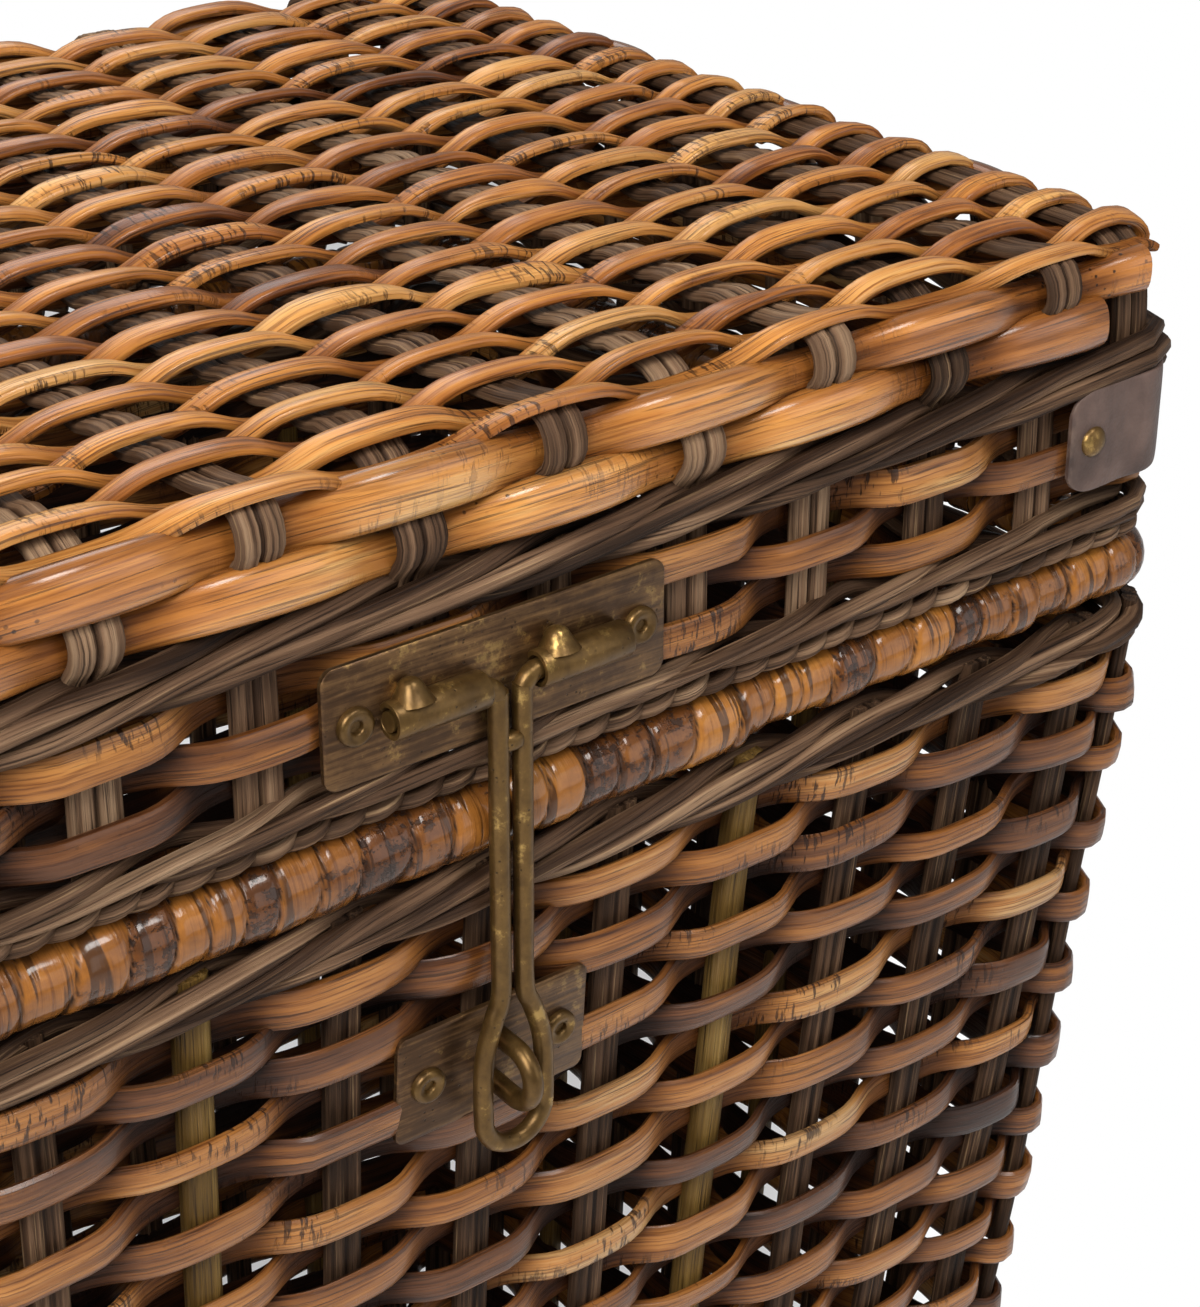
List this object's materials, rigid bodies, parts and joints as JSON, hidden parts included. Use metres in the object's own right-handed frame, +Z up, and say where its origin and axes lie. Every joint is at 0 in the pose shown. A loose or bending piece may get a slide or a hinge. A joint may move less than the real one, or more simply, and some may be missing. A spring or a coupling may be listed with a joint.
{
  "type": "laundry hamper with lid",
  "caption": "Tall tapered rectangular basket of woven rattan with a hinged box lid, a bound rim, leather corners and a brass wire hasp over a staple, for holding laundry.",
  "frame": {"origin": "on the floor under the middle of the hamper", "axes": "+Z up, -Y the front with the hasp, +X to the right seen from the front"},
  "size_m": [0.4338, 0.3402, 0.5992],
  "materials": {
    "rattan_core": "satin, dark stained",
    "rattan_weaver": "glossy, stained amber to brown",
    "rattan_band": "glossy, golden amber",
    "rattan_peel": "glossy, dark amber",
    "antique_brass": "antiqued, brushed",
    "leather": "worn, waxed"
  },
  "bodies": {
    "basket": {"foot_border": "rattan_core", "base_weave": "rattan_weaver", "base_sticks": "rattan_core", "wall_weave": "rattan_weaver", "wall_stakes": "rattan_core", "corner_posts": "rattan_core", "rim_wale": "rattan_core", "rim_core": "rattan_core", "rim_binding": "rattan_peel", "staple_plate": "antique_brass", "staple": "antique_brass", "staple_screws": "antique_brass", "hinge_body_screws": "antique_brass", "hinge_body_leaf_left": "antique_brass", "hinge_body_leaf_right": "antique_brass", "hinge_pin_left": "antique_brass", "hinge_pin_right": "antique_brass"},
    "lid": {"lid_border": "rattan_core", "lid_lower_wale": "rattan_core", "lid_side_weave": "rattan_weaver", "lid_upper_wale": "rattan_core", "edge_band_lower": "rattan_band", "edge_band_upper": "rattan_band", "lid_top_weave": "rattan_weaver", "lid_stakes": "rattan_core", "lid_end_stakes": "rattan_core", "leather_rivets": "antique_brass", "hasp_plate": "antique_brass", "hasp_plate_screws": "antique_brass", "hinge_lid_screws": "antique_brass", "hinge_lid_leaf_left": "antique_brass", "hinge_lid_leaf_right": "antique_brass", "leather_corner_front_left": "leather", "leather_corner_front_right": "leather", "leather_corner_back_left": "leather", "leather_corner_back_right": "leather"},
    "hasp": {"hasp_loop": "antique_brass"}
  },
  "joints": [
    {"name": "lid_hinge", "type": "hinge", "parent": "basket", "child": "lid", "pos_m": [0, 0.1638, 0.51445], "axis": [-1, 0, 0], "range_deg": [0, 180]},
    {"name": "hasp_swing", "type": "hinge", "parent": "lid", "child": "hasp", "pos_m": [0, -0.1633, 0.5412], "axis": [-1, 0, 0], "range_deg": [0, 160]}
  ]
}
